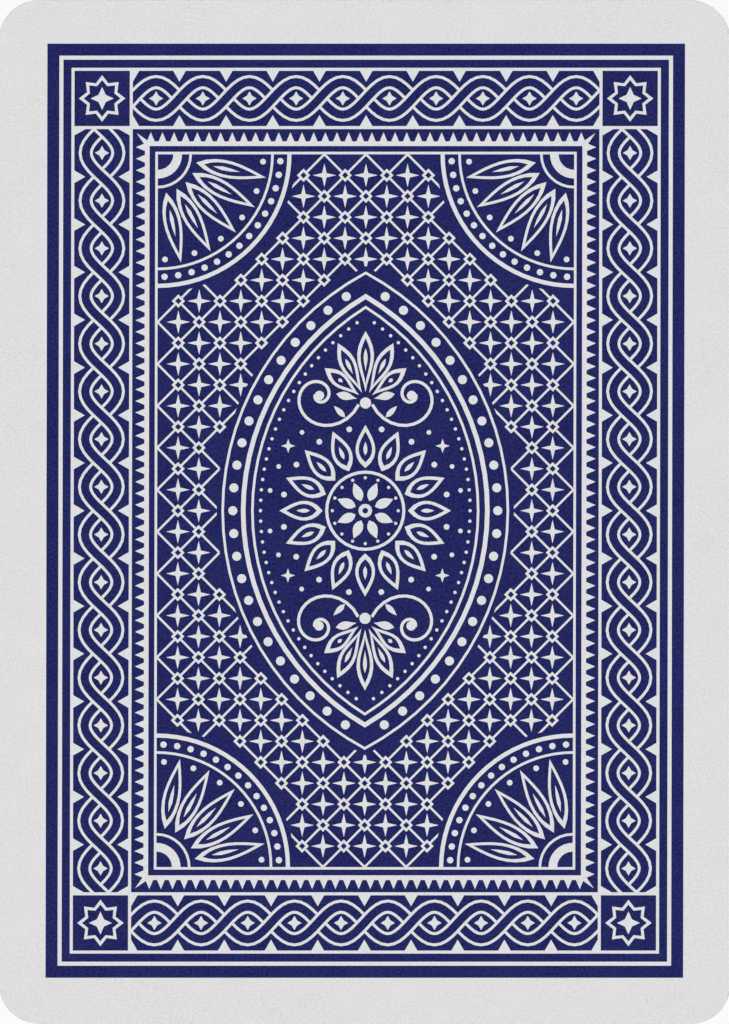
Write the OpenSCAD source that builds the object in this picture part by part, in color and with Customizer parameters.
// Pack of playing cards: four suits of thirteen and two jokers, squared up and lying face down.
// The origin is the middle of the underside of the bottom card. X runs across the cards,
// Y along them and Z up through the pack.

/* [Card] */
// Width of a card
card_w = 63.5; // [50:0.1:75]
// Length of a card
card_l = 88.9; // [75:0.1:125]
// Thickness of the card stock
card_t = 0.29; // [0.24:0.01:0.4]
// Radius of the die-cut corners
corner_r = 3.5; // [1:0.1:8]

/* [Cut edge] */
// Width of edge that the cutting die presses down on the back of a card
back_roll_w = 0.09; // [0.02:0.01:0.2]
// Depth of that pressed edge
back_roll_d = 0.06; // [0.01:0.01:0.1]
// Width and depth of the broken edge on the face of a card
face_break = 0.03; // [0.01:0.01:0.1]

/* [Pack] */
// Air that the embossed finish holds between two cards
air_gap = 0.01; // [0.005:0.005:0.05]
// Furthest that a card lies out of square with the bottom card, each way
out_of_square = 0.12; // [0:0.01:0.4]

/* [Hidden] */
$fn = 64;

suit_names = ["spades", "diamonds", "clubs", "hearts"];
rank_names = [
    "ace", "two", "three", "four", "five", "six", "seven",
    "eight", "nine", "ten", "jack", "queen", "king"
];
joker_names = ["black_joker", "red_joker"];

// A new pack runs from ace to king in its first two suits and back down in the other two.
last_rank = len(rank_names) - 1;
rising_suits = 2;

function run_of(suit, rising) = [
    for (i = [0 : last_rank])
        str(rank_names[rising ? i : last_rank - i], "_of_", suit)
];

// Every card, from the bottom of the pack to the top.
NODES = [
    for (s = [0 : len(suit_names) - 1])
        each run_of(suit_names[s], s < rising_suits),
    each joker_names
];

pitch = card_t + air_gap;
half_core_w = card_w / 2 - corner_r;
half_core_l = card_l / 2 - corner_r;

// How far each card lies from square, as shares of out_of_square. The bottom card sets the square.
lie_seed = 1952;
lie = rands(-1, 1, 2 * len(NODES), lie_seed);

function card_place(i) = [
    i == 0 ? 0 : out_of_square * lie[2 * i],
    i == 0 ? 0 : out_of_square * lie[2 * i + 1],
    i * pitch
];

// Section of the rim from a corner's centre out to the cut edge: face below, back above.
module rim_section() {
    polygon([
        [0, 0],
        [corner_r - face_break, 0],
        [corner_r, face_break],
        [corner_r, card_t - back_roll_d],
        [corner_r - back_roll_w, card_t],
        [0, card_t]
    ]);
}

// A straight stretch of rim of the given length, whose cut edge faces +X.
module rim_side(length) {
    translate([0, length / 2, 0])
        rotate([90, 0, 0])
            linear_extrude(height = length)
                rim_section();
}

// A quarter turn of rim, for the corner between +X and +Y.
module rim_corner() {
    rotate_extrude(angle = 90)
        rim_section();
}

// One card, lying on its face with the middle of that face at the origin.
module card() {
    color([0.87, 0.87, 0.88]) {
        translate([-half_core_w, -half_core_l, 0])
            cube([2 * half_core_w, 2 * half_core_l, card_t]);
        for (turn = [0, 180])
            rotate([0, 0, turn]) {
                translate([half_core_w, 0, 0])
                    rim_side(2 * half_core_l);
                translate([0, half_core_l, 0])
                    rotate([0, 0, 90])
                        rim_side(2 * half_core_w);
                translate([half_core_w, half_core_l, 0])
                    rim_corner();
                translate([-half_core_w, half_core_l, 0])
                    rotate([0, 0, 90])
                        rim_corner();
            }
    }
}

for (i = [0 : len(NODES) - 1])
    translate(card_place(i))
            card();
